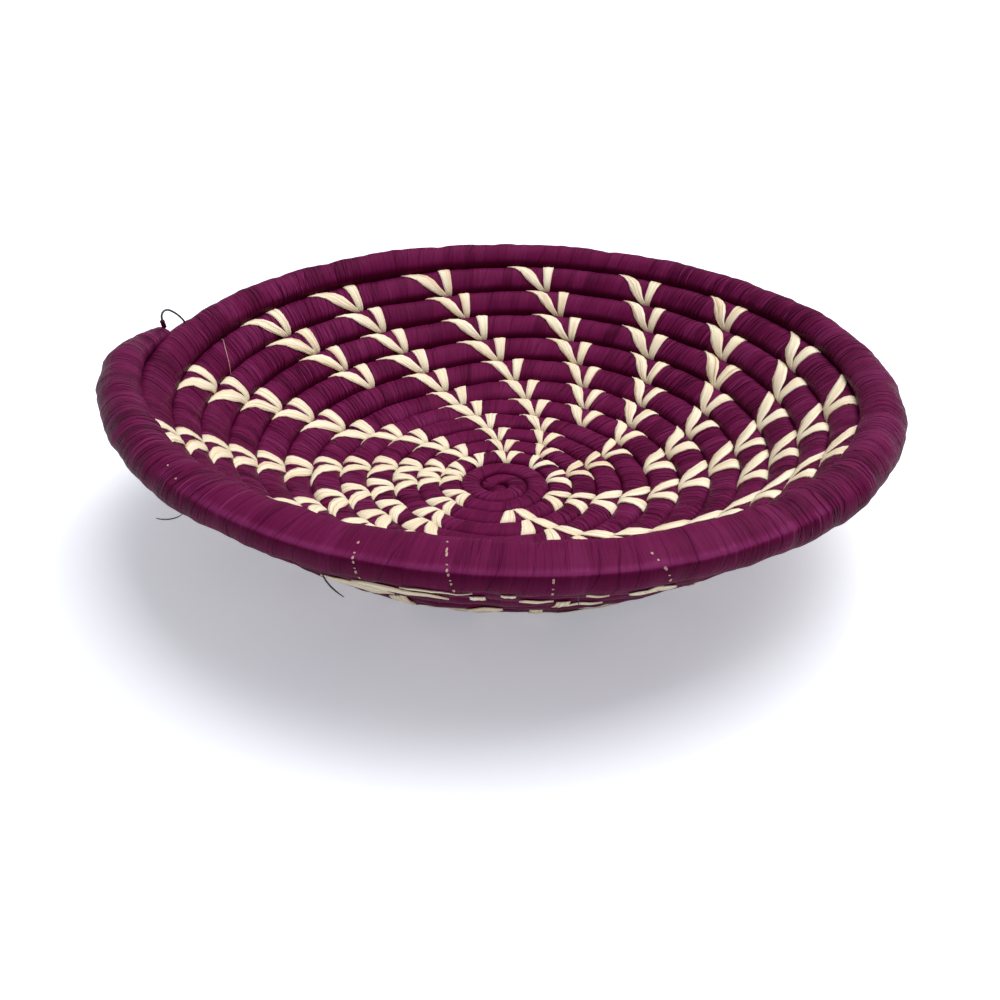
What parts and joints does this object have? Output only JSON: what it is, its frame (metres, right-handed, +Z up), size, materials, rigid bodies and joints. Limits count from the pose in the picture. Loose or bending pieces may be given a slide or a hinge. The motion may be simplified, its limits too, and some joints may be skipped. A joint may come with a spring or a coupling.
{
  "type": "raffia basket bowl",
  "caption": "Round coiled raffia bowl with a flared wall, wrapped in plum raffia and sewn with cream rays of V stitches, with a small hanging loop.",
  "frame": {"origin": "middle of the flat that the bowl stands on, at the middle of its box", "axes": "+Z up out of the bowl; -Y towards the viewer, so the coil's tail and the hanging loop lie at the left, a little behind the middle"},
  "size_m": [0.2432, 0.24, 0.0597],
  "materials": {
    "plum_raffia": "satin dyed raffia",
    "dry_stalk": "matte dry grass stalks",
    "cream_raffia": "satin natural raffia",
    "grey_cord": "thin stiff wrapped cord"
  },
  "bodies": {
    "root": {"raffia_wrap": "plum_raffia", "stalk_core": "dry_stalk", "start_knot": "plum_raffia", "tail_knot": "plum_raffia", "hanging_loop": "grey_cord", "accent_strand_01": "cream_raffia", "accent_strand_02": "cream_raffia", "accent_strand_03": "cream_raffia", "accent_strand_04": "cream_raffia", "accent_strand_05": "cream_raffia", "accent_strand_06": "cream_raffia", "accent_strand_07": "cream_raffia", "accent_strand_08": "cream_raffia", "accent_strand_09": "cream_raffia", "accent_strand_10": "cream_raffia", "accent_strand_11": "cream_raffia", "accent_strand_12": "cream_raffia", "accent_strand_13": "cream_raffia", "accent_strand_14": "cream_raffia", "accent_strand_15": "cream_raffia", "accent_strand_16": "cream_raffia"}
  },
  "joints": []
}
